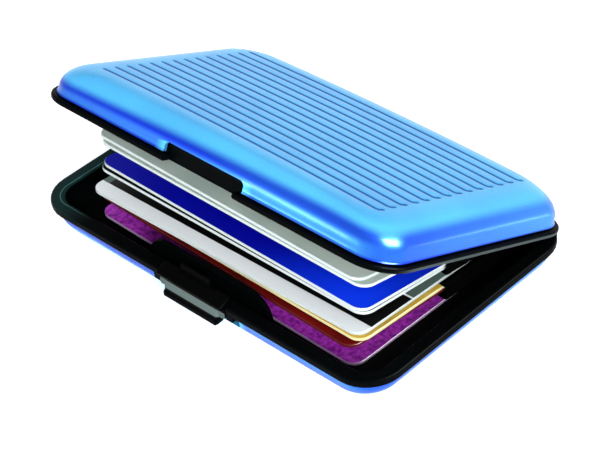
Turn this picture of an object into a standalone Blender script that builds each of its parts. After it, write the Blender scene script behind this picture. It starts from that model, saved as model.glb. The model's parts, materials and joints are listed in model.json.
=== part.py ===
"""Aluminium card holder, standing open with eight cards in its accordion of pockets.

Metres, +Z up. The origin is the centre of the flat underside, X runs along the
length, the latch is at -Y and the hinge at +Y. Every piece is drawn where it
lies in the closed case and is then turned open about its own hinge axis.
"""
from math import asin, copysign, cos, pi, radians, sin, sqrt, tan

import bmesh
import bpy
from mathutils import Matrix, Vector

# Cards, of the standard size
CARD_LENGTH = 0.0856
CARD_WIDTH = 0.05398
CARD_THICKNESS = 0.00076
CARD_CORNER_RADIUS = 0.00318

# Room round the cards
LEAF_SIDE_ROOM = 0.0024
TRAY_SIDE_ROOM = 0.0057
CARD_FRONT_SLACK = 0.0028
CARD_REAR_ROOM = 0.00202

# Case
CORNER_RADIUS = 0.0092
CLEARANCE = 0.0003
PARTING_GAP = 0.0003

# Aluminium shells
TRAY_SHELL_HEIGHT = 0.0069
LID_SHELL_HEIGHT = 0.0076
SHELL_WALL = 0.0008
SIDE_ROLL_WIDTH = 0.0050
END_ROLL_WIDTH = 0.0095
ROLL_HEIGHT = 0.0062
SHELL_FLARE = 0.0003
SHELL_FLARE_HEIGHT = 0.0006
LID_CROWN = 0.0006

# Grooves pressed into both shells
GROOVE_COUNT = 14
GROOVE_PITCH = 0.0038
GROOVE_LENGTH = 0.0856
GROOVE_WIDTH = 0.0010
GROOVE_DEPTH = 0.0004
GROOVE_HOOK_RADIUS = 0.0012

# Black frames
RIM_OVERHANG = 0.0015
TRAY_RIM_THICKNESS = 0.0021
RIM_EDGE_RADIUS = 0.0005
FRAME_WALL = 0.0010
LEDGE_REACH = 0.0080
LEDGE_THICKNESS = 0.0011

# Rear hinge
LID_REST_ANGLE = radians(23.9)
LID_TRAVEL = radians(40.0)
HINGE_SETBACK = 0.0020
KNUCKLE_COUNT = 7
KNUCKLE_SPAN = 0.0600
KNUCKLE_GAP = 0.0004
KNUCKLE_RADIUS = 0.0015
HINGE_PIN_RADIUS = 0.0006

# The accordion of pockets
SHEET_THICKNESS = 0.0005
LEAF_THICKNESS = 0.0004
LEAF_DEPTH = 0.0292
LEAF_ROOT_ROOM = 0.0010
LEAF_BEAD = 0.0001
LEAF_CORNER_CUT = 0.0016
LEAF_OPEN_ANGLES = [radians(angle) for angle in (4.0, 4.8, 8.0, 12.1, 15.6)]

# Latch button at the front
BUTTON_HALF_WIDTH = 0.0105
BUTTON_END_CHAMFER = 0.0003
BUTTON_WALL_ROOM = 0.0004
BUTTON_TOP_RISE = 0.0014
BUTTON_TOP_SLOPE = 0.0010
BUTTON_KNEE_DEPTH = 0.0004
BUTTON_KNEE_HEIGHT = 0.0012
NOSE_REACH = 0.0013
NOSE_RADIUS = 0.0004
NECK_REACH = 0.0003
BAR_HALF_WIDTH = 0.0088
BAR_END_CHAMFER = 0.0006
BAR_REACH = 0.0017
BAR_DEPTH = 0.0013
BAR_TOP_DROP = 0.0013
BAR_ROD_RADIUS = 0.00085
BAR_ROD_DROP = 0.00495
BAR_ROD_MEET = radians(110.0)
TOOTH_HALF_WIDTH = 0.0047
TOOTH_RISE = 0.0022
TOOTH_THICKNESS = 0.0008
TOOTH_ROOT = 0.0008
LATCH_PIN_RADIUS = 0.0004
LATCH_PIN_DROP = 0.0019
LATCH_PIN_INSET = 0.0011

# Lugs, notches and guard round the latch
LUG_WIDTH = 0.0019
LUG_DROP = 0.0013
SHELL_NOTCH_FLOOR = 0.0025
SHELL_NOTCH_RADIUS = 0.0020
LID_NOTCH_HALF_WIDTH = 0.0123
LID_NOTCH_RISE = 0.0026
LID_NOTCH_RADIUS = 0.0012
GUARD_HALF_WIDTH = 0.0195
GUARD_END_RADIUS = 0.0060
GUARD_TOP = 0.0123
GUARD_THICKNESS = 0.0012
GUARD_SETBACK = 0.0014

# Facets
CORNER_STEPS = 8
EDGE_STEPS = 6
ROUND_STEPS = 20
CROWN_STEPS = 8

# Sizes that follow from the ones above
SIDE_INSET = RIM_OVERHANG + SIDE_ROLL_WIDTH
END_INSET = RIM_OVERHANG + END_ROLL_WIDTH
SHELL_INNER_INSET = RIM_OVERHANG + SHELL_WALL
FRAME_OUTER_INSET = SHELL_INNER_INSET + CLEARANCE
FRAME_INNER_INSET = FRAME_OUTER_INSET + FRAME_WALL
LEAF_LENGTH = CARD_LENGTH + 2 * LEAF_SIDE_ROOM
CASE_LENGTH = LEAF_LENGTH + 2 * (TRAY_SIDE_ROOM + FRAME_INNER_INSET)
CARD_FRONT_ROOM = GUARD_SETBACK + GUARD_THICKNESS + CARD_FRONT_SLACK
CASE_DEPTH = CARD_WIDTH + CARD_FRONT_ROOM + CARD_REAR_ROOM + 2 * FRAME_INNER_INSET
HALF_LENGTH = CASE_LENGTH / 2
HALF_DEPTH = CASE_DEPTH / 2
RIM_UNDERSIDE = TRAY_SHELL_HEIGHT + CLEARANCE
RIM_TOP = RIM_UNDERSIDE + TRAY_RIM_THICKNESS
MIDPLANE = RIM_TOP + PARTING_GAP / 2
HINGE_Y = HALF_DEPTH - HINGE_SETBACK
END_LEDGE_REACH = LEDGE_REACH + END_ROLL_WIDTH - SIDE_ROLL_WIDTH
FRAME_BOTTOM = SHELL_WALL + CLEARANCE
LEDGE_TOP = FRAME_BOTTOM + LEDGE_THICKNESS
SHEET_BOTTOM = LEDGE_TOP + CLEARANCE
SHEET_TOP = SHEET_BOTTOM + SHEET_THICKNESS
FRONT_WALL_Y = -(HALF_DEPTH - FRAME_OUTER_INSET)
FRONT_INNER_Y = -(HALF_DEPTH - FRAME_INNER_INSET)
BUTTON_REAR_Y = FRONT_WALL_Y - BUTTON_WALL_ROOM
LATCH_PIN_Y = BUTTON_REAR_Y - LATCH_PIN_INSET
LATCH_PIN_Z = RIM_TOP - LATCH_PIN_DROP
LUG_START = BUTTON_HALF_WIDTH + CLEARANCE
LUG_END = LUG_START + LUG_WIDTH
GUARD_OUTER_Y = FRONT_INNER_Y + GUARD_SETBACK
GUARD_INNER_Y = GUARD_OUTER_Y + GUARD_THICKNESS
CARD_FRONT_Y = FRONT_INNER_Y + CARD_FRONT_ROOM
LEAF_ROOT_Y = HALF_DEPTH - FRAME_INNER_INSET - LEAF_ROOT_ROOM
LEAF_FRONT_Y = LEAF_ROOT_Y - LEAF_DEPTH
FAR = 0.02

# Cards from the lowest up: name, pocket, share of the front slack, skew, sideways offset, colour
CARDS = [
    ("purple_card", 0, -0.04, radians(0.2), -0.00025, (0.30, 0.05, 0.35)),
    ("red_card", 1, -0.18, radians(-0.5), 0.00005, (0.35, 0.03, 0.03)),
    ("yellow_card", 1, 0.18, radians(0.9), 0.00035, (0.85, 0.62, 0.10)),
    ("stripe_card", 2, -0.57, radians(2.3), 0.00030, (0.80, 0.80, 0.78)),
    ("black_card", 3, 0.09, radians(1.35), 0.00085, (0.03, 0.03, 0.03)),
    ("blue_card", 3, 0.13, radians(0.6), 0.00120, (0.08, 0.15, 0.45)),
    ("white_card", 4, 0.18, radians(0.9), 0.00075, (0.80, 0.82, 0.78)),
    ("silver_card", 4, 0.23, radians(0.25), -0.00050, (0.55, 0.57, 0.58)),
]
POCKET_COUNT = len(LEAF_OPEN_ANGLES) + 1


def clear_scene():
    for obj in list(bpy.data.objects):
        bpy.data.objects.remove(obj, do_unlink=True)


def make_material(name, colour, roughness, metallic=0.0):
    material = bpy.data.materials.new(name)
    material.use_nodes = True
    shader = material.node_tree.nodes["Principled BSDF"]
    shader.inputs["Base Color"].default_value = (*colour, 1.0)
    shader.inputs["Roughness"].default_value = roughness
    shader.inputs["Metallic"].default_value = metallic
    material.diffuse_color = (*colour, 1.0)
    return material


def blue_aluminium(name):
    return make_material(name, (0.02, 0.08, 0.45), 0.35, 1.0)


def black_plastic(name):
    return make_material(name, (0.02, 0.02, 0.022), 0.45)


def steel(name):
    return make_material(name, (0.6, 0.6, 0.62), 0.3, 1.0)


def arc(centre, radius, start, end, steps):
    """Points on a circular arc in a plane, both ends included."""
    points = []
    for index in range(steps + 1):
        angle = start + (end - start) * index / steps
        points.append((centre[0] + radius * cos(angle), centre[1] + radius * sin(angle)))
    return points


def rounded_rectangle(half_x, half_y, radius, steps=CORNER_STEPS):
    """Outline with round corners, anticlockwise from above."""
    points = []
    for quarter, (side_x, side_y) in enumerate(((1, 1), (-1, 1), (-1, -1), (1, -1))):
        centre = (side_x * (half_x - radius), side_y * (half_y - radius))
        start = quarter * pi / 2
        points += arc(centre, radius, start, start + pi / 2, steps)
    return points


def rolled_edge(depth, start, end, steps):
    """Places (side inset, height, end inset, corner) on the rolled foot, on a surface depth inside it.

    The foot is a quarter ellipse, narrow along the sides and wide at the ends, and its
    corners keep the radius that they have where the roll meets the upright wall.
    """
    places = []
    corner = CORNER_RADIUS - RIM_OVERHANG - depth
    for across, up in arc((0.0, 0.0), 1.0, start, end, steps):
        side_inset = SIDE_INSET + (SIDE_ROLL_WIDTH - depth) * across
        end_inset = END_INSET + (END_ROLL_WIDTH - depth) * across
        places.append((side_inset, ROLL_HEIGHT + (ROLL_HEIGHT - depth) * up, end_inset, corner))
    return places


def upright(inset, z):
    """Place on an upright wall, with the same inset all round the case."""
    return inset, z, inset, CORNER_RADIUS - inset


def outline_rings(places):
    """One ring round the case, seen from above, for each place."""
    rings = []
    for side_inset, z, end_inset, corner in places:
        outline = rounded_rectangle(HALF_LENGTH - end_inset, HALF_DEPTH - side_inset, corner)
        rings.append([(x, y, z) for x, y in outline])
    return rings


def loft(bm, rings, join_ends=False, cap_ends=False):
    """Skins a row of rings that all have the same number of points."""
    rows = [[bm.verts.new(point) for point in ring] for ring in rings]
    pairs = list(zip(rows, rows[1:]))
    if join_ends:
        pairs.append((rows[-1], rows[0]))
    for lower, upper in pairs:
        count = len(lower)
        for index in range(count):
            after = (index + 1) % count
            bm.faces.new((lower[index], lower[after], upper[after], upper[index]))
    if cap_ends:
        bm.faces.new(rows[0])
        bm.faces.new(rows[-1])
    return rows


def new_piece(name, bm, material=None, carrier=None, origin=(0.0, 0.0, 0.0)):
    """Makes an object from a mesh drawn in closed-case coordinates, with its origin at a point."""
    bmesh.ops.recalc_face_normals(bm, faces=bm.faces)
    bm.transform(Matrix.Translation(-Vector(origin)))
    mesh = bpy.data.meshes.new(name)
    bm.to_mesh(mesh)
    bm.free()
    if material:
        mesh.materials.append(material)
    mesh.shade_smooth()
    mesh.set_sharp_from_angle(angle=radians(30))
    piece = bpy.data.objects.new(name, mesh)
    bpy.context.scene.collection.objects.link(piece)
    piece.parent = carrier
    if carrier is None:
        piece.location = origin
    return piece


def add_boolean(piece, name, bm, operation, carrier=None, origin=(0.0, 0.0, 0.0)):
    """Cuts or joins a hidden helper solid, which stays on the same carrier as the piece."""
    helper = new_piece(name, bm, None, carrier, origin)
    helper.hide_render = True
    helper.display_type = "WIRE"
    modifier = piece.modifiers.new(name, "BOOLEAN")
    modifier.operation = operation
    modifier.solver = "EXACT"
    modifier.object = helper
    return modifier


def prism_along_x(bm, profile, half_width, end_chamfer=0.0):
    """A (y, z) profile drawn out along X, its ends drawn in a little where a chamfer is given."""
    middle_y = sum(point[0] for point in profile) / len(profile)
    middle_z = sum(point[1] for point in profile) / len(profile)
    stations = [(-half_width, 0.0), (half_width, 0.0)]
    if end_chamfer > 0:
        inner = half_width - end_chamfer
        stations = [(-half_width, end_chamfer), (-inner, 0.0), (inner, 0.0), (half_width, end_chamfer)]
    rings = []
    for x, shrink in stations:
        ring = []
        for y, z in profile:
            reach = sqrt((y - middle_y) ** 2 + (z - middle_z) ** 2)
            keep = 1.0 - shrink / reach
            ring.append((x, middle_y + (y - middle_y) * keep, middle_z + (z - middle_z) * keep))
        rings.append(ring)
    loft(bm, rings, cap_ends=True)


def prism_along_y(bm, profile, start_y, end_y):
    """An (x, z) profile drawn out along Y."""
    rings = [[(x, y, z) for x, z in profile] for y in (start_y, end_y)]
    loft(bm, rings, cap_ends=True)


def bar_along_x(bm, start_x, end_x, axis_y, axis_z, radius):
    """A round bar or drill on an axis along X."""
    circle = arc((axis_y, axis_z), radius, 0.0, 2 * pi, ROUND_STEPS)[:-1]
    loft(bm, [[(x, y, z) for y, z in circle] for x in (start_x, end_x)], cap_ends=True)


def box(bm, low, high):
    corners = [(low[0], low[1]), (high[0], low[1]), (high[0], high[1]), (low[0], high[1])]
    loft(bm, [[(x, y, z) for x, y in corners] for z in (low[2], high[2])], cap_ends=True)


def mirror_to_lid(bm):
    """Turns a lower piece into its upper twin, above the parting plane."""
    for vert in bm.verts:
        vert.co.z = 2 * MIDPLANE - vert.co.z


def crown_height(x):
    """How far the lid's top bulges up at a place along its length."""
    shoulder = HALF_LENGTH - END_INSET
    return LID_CROWN * max(0.0, 1.0 - (x / shoulder) ** 2)


def crown_stations():
    shoulder = HALF_LENGTH - END_INSET
    return [shoulder * (2 * index / CROWN_STEPS - 1) for index in range(CROWN_STEPS + 1)]


def crown_the_top(bm):
    """Slices the lid's shell across its length and lifts each slice to the crowned height."""
    for x in crown_stations():
        everything = bm.verts[:] + bm.edges[:] + bm.faces[:]
        bmesh.ops.bisect_plane(bm, geom=everything, dist=1e-7, plane_co=(x, 0, 0), plane_no=(1, 0, 0))
    edge = 2 * MIDPLANE - LID_SHELL_HEIGHT
    for vert in bm.verts:
        share = (vert.co.z - edge) / LID_SHELL_HEIGHT
        vert.co.z += crown_height(vert.co.x) * share


def shell_mesh(height):
    """Shallow pressed tray: rings run from the middle of the underside to the floor inside.

    The skirt flares out a little just before the rim.
    """
    outer = rolled_edge(0.0, -pi / 2, -pi, EDGE_STEPS)
    inner = rolled_edge(SHELL_WALL, pi, 3 * pi / 2, EDGE_STEPS)
    wall = [
        upright(RIM_OVERHANG, height - SHELL_FLARE_HEIGHT),
        upright(RIM_OVERHANG - SHELL_FLARE, height),
        upright(SHELL_INNER_INSET, height),
    ]
    bm = bmesh.new()
    loft(bm, outline_rings(outer + wall + inner), cap_ends=True)
    return bm


def groove_path():
    """Centre line of one groove: places along X, sideways offsets and widths, hooked at one end."""
    half = GROOVE_LENGTH / 2
    start = [(-half, 0.0, 0.4), (-half + GROOVE_WIDTH / 3, 0.0, 0.8), (-half + GROOVE_WIDTH, 0.0, 1.0)]
    stations = crown_stations()
    middle = [((first + second) / 2, 0.0, 1.0) for first, second in zip(stations, stations[1:])]
    bend = arc((half - GROOVE_HOOK_RADIUS, GROOVE_HOOK_RADIUS), GROOVE_HOOK_RADIUS, -pi / 2, 0.0, 4)
    widths = (1.0, 0.95, 0.85, 0.7, 0.4)
    hook = [(x, offset, width) for (x, offset), width in zip(bend, widths)]
    return start + middle + hook


def groove_cutters(surface, outward):
    """All the grooves of one shell; surface(x) is the face's height, outward is +1 up or -1 down."""
    section = ((-0.75, 1.0), (-0.25, -1.0), (0.25, -1.0), (0.75, 1.0))
    path = groove_path()
    bm = bmesh.new()
    for index in range(GROOVE_COUNT):
        groove_y = (index - (GROOVE_COUNT - 1) / 2) * GROOVE_PITCH
        rings = []
        for place, (x, offset, width) in enumerate(path):
            before = Vector(path[max(place - 1, 0)][:2])
            after = Vector(path[min(place + 1, len(path) - 1)][:2])
            along = (after - before).normalized()
            across = Vector((-along.y, along.x))
            ring = []
            for side, height in section:
                sideways = side * GROOVE_WIDTH * width
                z = surface(x) + outward * height * GROOVE_DEPTH
                ring.append((x + across.x * sideways, groove_y + offset + across.y * sideways, z))
            rings.append(ring)
        loft(bm, rings, cap_ends=True)
    return bm


def notch_outline(half_width, edge_z, end_z, radius):
    """(x, z) outline of a notch that opens at edge_z and has round corners at end_z."""
    way = 1 if end_z > edge_z else -1
    outline = [(-half_width, edge_z), (-half_width, end_z - way * radius)]
    left = arc((-half_width + radius, end_z - way * radius), radius, pi, pi - way * pi / 2, 4)
    right = arc((half_width - radius, end_z - way * radius), radius, way * pi / 2, 0.0, 4)
    return outline + left[1:] + right[:-1] + [(half_width, end_z - way * radius), (half_width, edge_z)]


def notch_cutter(half_width, edge_z, end_z, radius):
    """A notch cut through the front wall only."""
    bm = bmesh.new()
    outline = notch_outline(half_width, edge_z, end_z, radius)
    prism_along_y(bm, outline, -HALF_DEPTH - FAR, FRONT_INNER_Y - CLEARANCE / 2)
    return bm


def make_bottom_shell():
    shell = new_piece("bottom_shell", shell_mesh(TRAY_SHELL_HEIGHT), blue_aluminium("bottom_shell_blue"))
    add_boolean(shell, "bottom_grooves", groove_cutters(lambda x: 0.0, -1), "DIFFERENCE")
    half_width = LUG_END + CLEARANCE
    top = TRAY_SHELL_HEIGHT + CLEARANCE
    notch = notch_cutter(half_width, top, SHELL_NOTCH_FLOOR, SHELL_NOTCH_RADIUS)
    add_boolean(shell, "bottom_shell_notch", notch, "DIFFERENCE")
    return shell


def make_top_shell(lid, axis):
    bm = shell_mesh(LID_SHELL_HEIGHT)
    mirror_to_lid(bm)
    crown_the_top(bm)
    shell = new_piece("top_shell", bm, blue_aluminium("top_shell_blue"), lid, axis)
    top = 2 * MIDPLANE
    grooves = groove_cutters(lambda x: top + crown_height(x), 1)
    add_boolean(shell, "top_grooves", grooves, "DIFFERENCE", lid, axis)
    edge = 2 * MIDPLANE - LID_SHELL_HEIGHT
    notch = notch_cutter(LID_NOTCH_HALF_WIDTH, edge - CLEARANCE, edge + LID_NOTCH_RISE, LID_NOTCH_RADIUS)
    add_boolean(shell, "top_shell_notch", notch, "DIFFERENCE", lid, axis)
    return shell


def frame_mesh(rim_underside):
    """Rim, wall and ledge as one section carried round the case's outline."""
    outside = SHELL_WALL + CLEARANCE
    inside = outside + FRAME_WALL
    bevel = RIM_EDGE_RADIUS
    rim = arc((bevel, RIM_TOP - bevel), bevel, pi / 2, pi, 3)
    rim += arc((bevel, rim_underside + bevel), bevel, pi, 3 * pi / 2, 3)
    rim += [(FRAME_OUTER_INSET, rim_underside)]
    profile = [upright(inset, z) for inset, z in rim]
    profile += rolled_edge(outside, pi, 3 * pi / 2, EDGE_STEPS)
    ledge_corner = CORNER_RADIUS - RIM_OVERHANG - outside
    for z in (FRAME_BOTTOM, LEDGE_TOP):
        profile.append((LEDGE_REACH, z, END_LEDGE_REACH, ledge_corner))
    drop = (ROLL_HEIGHT - LEDGE_TOP) / (ROLL_HEIGHT - inside)
    meet = sqrt(1.0 - drop * drop)
    profile += rolled_edge(inside, 3 * pi / 2 - asin(meet), pi, EDGE_STEPS - 2)
    profile += [upright(FRAME_INNER_INSET, RIM_TOP - bevel), upright(FRAME_INNER_INSET - bevel, RIM_TOP)]
    bm = bmesh.new()
    loft(bm, outline_rings(profile), join_ends=True)
    return bm


def rear_wedge():
    """Cuts the rims back behind the hinge axis so that the lid can swing past its edge."""
    slope = tan(LID_TRAVEL / 2)
    gap = PARTING_GAP / 2
    profile = [
        (HINGE_Y, MIDPLANE - gap),
        (HINGE_Y + FAR, MIDPLANE - gap - slope * FAR),
        (HINGE_Y + FAR, MIDPLANE + KNUCKLE_RADIUS),
        (HINGE_Y, MIDPLANE + KNUCKLE_RADIUS),
    ]
    bm = bmesh.new()
    prism_along_x(bm, profile, HALF_LENGTH + CLEARANCE)
    return bm


def knuckle_spans(first):
    """Start and end along X of every second knuckle."""
    width = (KNUCKLE_SPAN - KNUCKLE_GAP * (KNUCKLE_COUNT - 1)) / KNUCKLE_COUNT
    spans = []
    for index in range(first, KNUCKLE_COUNT, 2):
        start = -KNUCKLE_SPAN / 2 + index * (width + KNUCKLE_GAP)
        spans.append((start, start + width))
    return spans


def add_hinge(frame, label, own, other, carrier=None, origin=(0.0, 0.0, 0.0)):
    """Windows for the other half's knuckles, this half's own knuckles, then the bore."""
    windows = bmesh.new()
    for start, end in knuckle_spans(other):
        reach = KNUCKLE_RADIUS + CLEARANCE
        bar_along_x(windows, start - KNUCKLE_GAP, end + KNUCKLE_GAP, HINGE_Y, MIDPLANE, reach)
    add_boolean(frame, label + "_windows", windows, "DIFFERENCE", carrier, origin)
    knuckles = bmesh.new()
    for start, end in knuckle_spans(own):
        bar_along_x(knuckles, start, end, HINGE_Y, MIDPLANE, KNUCKLE_RADIUS)
    add_boolean(frame, label + "_knuckles", knuckles, "UNION", carrier, origin)
    bore = bmesh.new()
    bore_radius = HINGE_PIN_RADIUS + CLEARANCE
    bar_along_x(bore, -KNUCKLE_SPAN, KNUCKLE_SPAN, HINGE_Y, MIDPLANE, bore_radius)
    add_boolean(frame, label + "_bore", bore, "DIFFERENCE", carrier, origin)


def latch_lugs():
    """Two blocks under the rim, one at each end of the button."""
    bm = bmesh.new()
    for side in (-1, 1):
        ends = sorted((side * LUG_START, side * LUG_END))
        low = (ends[0], -HALF_DEPTH, RIM_UNDERSIDE - LUG_DROP)
        high = (ends[1], FRONT_WALL_Y + FRAME_WALL / 2, (RIM_UNDERSIDE + RIM_TOP) / 2)
        box(bm, low, high)
    return bm


def guard_mesh():
    """Half-moon upright behind the latch that keeps the cards off it."""
    radius = GUARD_END_RADIUS
    foot = (FRAME_BOTTOM + LEDGE_TOP) / 2
    inner = GUARD_HALF_WIDTH - radius
    profile = [(-GUARD_HALF_WIDTH, foot)]
    profile += arc((-inner, GUARD_TOP - radius), radius, pi, pi / 2, EDGE_STEPS)
    profile += arc((inner, GUARD_TOP - radius), radius, pi / 2, 0.0, EDGE_STEPS)
    profile += [(GUARD_HALF_WIDTH, foot)]
    bm = bmesh.new()
    prism_along_y(bm, profile, GUARD_OUTER_Y, GUARD_INNER_Y)
    return bm


def make_bottom_frame():
    frame = new_piece("bottom_frame", frame_mesh(RIM_UNDERSIDE), black_plastic("bottom_frame_black"))
    add_boolean(frame, "bottom_rear_wedge", rear_wedge(), "DIFFERENCE")
    add_hinge(frame, "bottom_hinge", 0, 1)
    slot = bmesh.new()
    low = (-LUG_START, -HALF_DEPTH - FAR, RIM_UNDERSIDE - CLEARANCE)
    box(slot, low, (LUG_START, FRONT_WALL_Y, RIM_TOP + CLEARANCE))
    add_boolean(frame, "button_slot", slot, "DIFFERENCE")
    add_boolean(frame, "latch_lugs", latch_lugs(), "UNION")
    bore = bmesh.new()
    radius = LATCH_PIN_RADIUS + CLEARANCE
    bar_along_x(bore, -LUG_END - FAR, LUG_END + FAR, LATCH_PIN_Y, LATCH_PIN_Z, radius)
    add_boolean(frame, "latch_lug_bore", bore, "DIFFERENCE")
    add_boolean(frame, "latch_guard", guard_mesh(), "UNION")
    return frame


def make_top_frame(lid, axis):
    bm = frame_mesh(LID_SHELL_HEIGHT + CLEARANCE)
    mirror_to_lid(bm)
    frame = new_piece("top_frame", bm, black_plastic("top_frame_black"), lid, axis)
    wedge = rear_wedge()
    mirror_to_lid(wedge)
    add_boolean(frame, "top_rear_wedge", wedge, "DIFFERENCE", lid, axis)
    add_hinge(frame, "top_hinge", 1, 0, lid, axis)
    notch = bmesh.new()
    rise = RIM_TOP + PARTING_GAP
    top = 2 * MIDPLANE - LID_SHELL_HEIGHT
    flare = RIM_EDGE_RADIUS
    profile = [
        (-LUG_START - flare, rise - CLEARANCE),
        (LUG_START + flare, rise - CLEARANCE),
        (LUG_START, rise + flare),
        (LUG_START, top),
        (-LUG_START, top),
        (-LUG_START, rise + flare),
    ]
    prism_along_y(notch, profile, -HALF_DEPTH - FAR, FRONT_WALL_Y)
    add_boolean(frame, "top_rim_notch", notch, "DIFFERENCE", lid, axis)
    return frame


def sheet_mesh():
    """Flat sheet that lies on a frame's ledge, inside the frame's rounded foot."""
    bm = bmesh.new()
    places = [(SHEET_INSET, z, SHEET_END_INSET, SHEET_CORNER) for z in (SHEET_BOTTOM, SHEET_TOP)]
    loft(bm, outline_rings(places), cap_ends=True)
    return bm


def foot_insets(z):
    """Insets of the frame's inner face, at the sides and at the ends, at a height inside its foot."""
    share = sqrt(1.0 - ((ROLL_HEIGHT - z) / (ROLL_HEIGHT - FOOT_DEPTH)) ** 2)
    side_inset = SIDE_INSET - (SIDE_ROLL_WIDTH - FOOT_DEPTH) * share
    return side_inset, END_INSET - (END_ROLL_WIDTH - FOOT_DEPTH) * share


FOOT_DEPTH = SHELL_WALL + CLEARANCE + FRAME_WALL
SHEET_INSET, SHEET_END_INSET = [inset + CLEARANCE for inset in foot_insets(SHEET_BOTTOM)]
SHEET_CORNER = CORNER_RADIUS - RIM_OVERHANG - FOOT_DEPTH - CLEARANCE


def pocket_stack():
    """Closed heights of the leaves and cards, spread evenly between the two sheets."""
    items = []
    for pocket in range(POCKET_COUNT):
        if pocket:
            items.append((pocket, None, LEAF_THICKNESS))
        for card in CARDS:
            if card[1] == pocket:
                items.append((pocket, card[0], CARD_THICKNESS))
    room = 2 * (MIDPLANE - SHEET_TOP)
    gap = (room - sum(item[2] for item in items)) / (len(items) + 1)
    leaves, cards = [], {}
    z = SHEET_TOP
    for pocket, name, thickness in items:
        z += gap + thickness / 2
        if name is None:
            leaves.append(z)
        else:
            cards[name] = z
        z += thickness / 2
    return leaves, cards, gap


def make_pocket_floor():
    """The tray's sheet, notched round the guard, with an upturned flange beside the lowest card."""
    leaves, _, gap = pocket_stack()
    floor = new_piece("pocket_floor", sheet_mesh(), black_plastic("pocket_floor_black"))
    notch = bmesh.new()
    half = GUARD_HALF_WIDTH + CLEARANCE
    low = (-half, -HALF_DEPTH, SHEET_BOTTOM - CLEARANCE)
    box(notch, low, (half, GUARD_INNER_Y + CLEARANCE, SHEET_TOP + CLEARANCE))
    add_boolean(floor, "guard_notch", notch, "DIFFERENCE")
    flanges = bmesh.new()
    top = leaves[0] - LEAF_THICKNESS / 2 - gap
    rear = HALF_DEPTH - SHEET_INSET - SHEET_CORNER / 2
    for side in (-1, 1):
        ends = sorted((side * (LEAF_LENGTH / 2 - LEAF_THICKNESS), side * LEAF_LENGTH / 2))
        low = (ends[0], LEAF_FRONT_Y, SHEET_TOP - SHEET_THICKNESS / 2)
        box(flanges, low, (ends[1], rear, top))
    add_boolean(floor, "floor_flanges", flanges, "UNION")
    return floor


def make_pocket_roof(lid, axis):
    bm = sheet_mesh()
    mirror_to_lid(bm)
    return new_piece("pocket_roof", bm, black_plastic("pocket_roof_black"), lid, axis)


def leaf_mesh(height):
    """Pocket leaf: a thin plate with an upturned flange along each side, as tall as its pocket.

    Its rear corners are drawn in to clear the case's round corners.
    """
    half = LEAF_LENGTH / 2
    side = LEAF_THICKNESS
    low = -LEAF_THICKNESS / 2
    high = LEAF_THICKNESS / 2
    if height > high:
        profile = [
            (-half, low), (half, low), (half, height), (half - side, height),
            (half - side, high), (-half + side, high), (-half + side, height), (-half, height),
        ]
    else:
        profile = [(-half, low), (half, low), (half, high), (-half, high)]
    drawn_in = [(x - copysign(LEAF_CORNER_CUT, x), z) for x, z in profile]
    stations = [
        (LEAF_FRONT_Y - LEAF_ROOT_Y, profile),
        (LEAF_BEAD - LEAF_CORNER_CUT, profile),
        (LEAF_BEAD, drawn_in),
    ]
    bm = bmesh.new()
    loft(bm, [[(x, y, z) for x, z in outline] for y, outline in stations], cap_ends=True)
    return bm


def make_leaves():
    """Each leaf turns on the one below it, at its rear edge."""
    heights, _, gap = pocket_stack()
    leaves = []
    for index, closed_z in enumerate(heights):
        name = "pocket_leaf_" + str(index + 1)
        flange = 0.0
        if index + 1 < len(heights):
            flange = heights[index + 1] - closed_z - LEAF_THICKNESS / 2 - gap
        leaf = new_piece(name, leaf_mesh(flange), black_plastic(name + "_black"))
        if index == 0:
            leaf.location = (0.0, LEAF_ROOT_Y, closed_z)
            turn = LEAF_OPEN_ANGLES[0]
        else:
            leaf.parent = leaves[-1]
            leaf.location = (0.0, 0.0, closed_z - heights[index - 1])
            turn = LEAF_OPEN_ANGLES[index] - LEAF_OPEN_ANGLES[index - 1]
        leaf.rotation_euler = (-turn, 0.0, 0.0)
        leaves.append(leaf)
    return leaves


def card_mesh():
    bm = bmesh.new()
    outline = rounded_rectangle(CARD_LENGTH / 2, CARD_WIDTH / 2, CARD_CORNER_RADIUS)
    half = CARD_THICKNESS / 2
    loft(bm, [[(x, y, z) for x, y in outline] for z in (-half, half)], cap_ends=True)
    return bm


def make_cards(leaves):
    leaf_heights, card_heights, _ = pocket_stack()
    for name, pocket, share, skew, sideways, colour in CARDS:
        card = new_piece(name, card_mesh(), make_material(name + "_plastic", colour, 0.35))
        z = card_heights[name]
        y = CARD_FRONT_Y + share * CARD_FRONT_SLACK + CARD_WIDTH / 2
        if pocket:
            card.parent = leaves[pocket - 1]
            y -= LEAF_ROOT_Y
            z -= leaf_heights[pocket - 1]
        card.location = (sideways, y, z)
        card.rotation_euler = (0.0, 0.0, skew)


def button_body_profile(top, under):
    """Sloped top, rounded nose past the rim, and a neck that runs down in front of the pin."""
    nose = (-HALF_DEPTH - NOSE_REACH + NOSE_RADIUS, top - BUTTON_TOP_SLOPE - NOSE_RADIUS)
    profile = [(BUTTON_REAR_Y, top)]
    profile += arc(nose, NOSE_RADIUS, pi / 2, 3 * pi / 2, EDGE_STEPS)
    neck_y = -HALF_DEPTH - NECK_REACH
    profile += [(neck_y, nose[1] - 2 * NOSE_RADIUS), (neck_y, under)]
    profile += [(BUTTON_REAR_Y - BUTTON_KNEE_DEPTH, under), (BUTTON_REAR_Y, under + BUTTON_KNEE_HEIGHT)]
    return profile


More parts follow.
